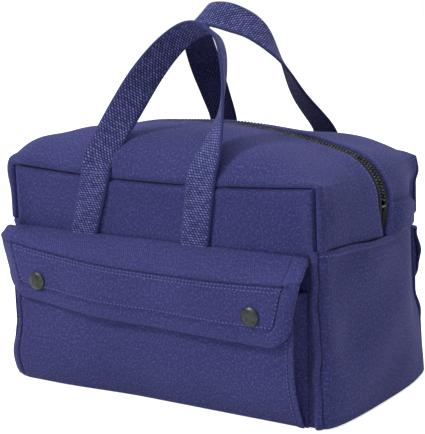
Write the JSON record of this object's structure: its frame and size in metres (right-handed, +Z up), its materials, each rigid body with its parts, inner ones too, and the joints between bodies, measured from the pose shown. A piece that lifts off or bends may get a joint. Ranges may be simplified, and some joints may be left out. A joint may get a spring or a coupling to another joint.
{
  "type": "tool bag",
  "caption": "Soft rectangular canvas tool bag with a zip over its crown, web carrying handles, and a flapped snap-closed pocket on the front and rear.",
  "frame": {"origin": "on the ground under the middle of the base", "axes": "+X along the bag towards its right end, +Y from the front to the rear, +Z up"},
  "size_m": [0.3168, 0.2094, 0.2983],
  "materials": {
    "canvas": "navy duck canvas, matte",
    "inner_canvas": "navy duck canvas, matte",
    "webbing": "navy cotton web, coarse weave, matte",
    "zip_tape": "black woven tape",
    "zip_metal": "dark metal, worn bright on its edges",
    "snap_metal": "gunmetal, satin"
  },
  "bodies": {
    "bag": {"base_panel": "canvas", "left_end_panel": "canvas", "right_end_panel": "canvas", "front_panel": "canvas", "rear_panel": "canvas", "left_end_hem": "canvas", "right_end_hem": "canvas", "front_corner_welts": "canvas", "rear_corner_welts": "canvas", "zip_end_stop": "zip_metal", "front_inner_pockets": "inner_canvas", "front_handle_anchors": "webbing", "front_flap_seam": "canvas", "front_pocket": "canvas", "front_pocket_gussets": "canvas", "front_snap_studs": "snap_metal", "front_snap_backs": "snap_metal", "rear_inner_pockets": "inner_canvas", "rear_handle_anchors": "webbing", "rear_flap_seam": "canvas", "rear_pocket": "canvas", "rear_pocket_gussets": "canvas", "rear_snap_studs": "snap_metal", "rear_snap_backs": "snap_metal"},
    "front_half": {"front_panel_top": "canvas", "front_band": "canvas", "front_zip_tape": "zip_tape", "front_zip_teeth": "zip_metal", "front_handle_risers": "webbing"},
    "front_handle": {"front_handle": "webbing"},
    "front_flap": {"front_flap": "canvas", "front_snap_caps": "snap_metal", "front_snap_sockets": "snap_metal"},
    "rear_half": {"rear_panel_top": "canvas", "rear_band": "canvas", "rear_zip_tape": "zip_tape", "rear_zip_teeth": "zip_metal", "rear_handle_risers": "webbing"},
    "rear_handle": {"rear_handle": "webbing"},
    "rear_flap": {"rear_flap": "canvas", "rear_snap_caps": "snap_metal", "rear_snap_sockets": "snap_metal"},
    "slider": {"zip_slider": "zip_metal"},
    "pull": {"zip_pull": "zip_metal"}
  },
  "joints": [
    {"name": "front_mouth_fold", "type": "hinge", "parent": "bag", "child": "front_half", "pos_m": [0, -0.0795, 0.13], "axis": [1, 0, 0], "range_deg": [0, 25]},
    {"name": "front_handle_swing", "type": "hinge", "parent": "front_half", "child": "front_handle", "pos_m": [0, -0.0796, 0.1738], "axis": [1, 0, 0], "range_deg": [0, 80]},
    {"name": "front_flap_lift", "type": "hinge", "parent": "bag", "child": "front_flap", "pos_m": [0, -0.0797, 0.125], "axis": [-1, 0, 0], "range_deg": [0, 85]},
    {"name": "rear_mouth_fold", "type": "hinge", "parent": "bag", "child": "rear_half", "pos_m": [0, 0.0795, 0.13], "axis": [-1, 0, 0], "range_deg": [0, 25]},
    {"name": "rear_handle_swing", "type": "hinge", "parent": "rear_half", "child": "rear_handle", "pos_m": [0, 0.0796, 0.1738], "axis": [-1, 0, 0], "range_deg": [0, 80]},
    {"name": "rear_flap_lift", "type": "hinge", "parent": "bag", "child": "rear_flap", "pos_m": [0, 0.0797, 0.125], "axis": [1, 0, 0], "range_deg": [0, 85]},
    {"name": "slider_travel", "type": "hinge", "parent": "bag", "child": "slider", "pos_m": [-0.115, 0, 0.15134], "axis": [0, 1, 0], "range_deg": [0, 60]},
    {"name": "pull_swing", "type": "hinge", "parent": "slider", "child": "pull", "pos_m": [-0.15746, 0, 0.1531], "axis": [0, 1, 0], "range_deg": [0, 110]}
  ]
}
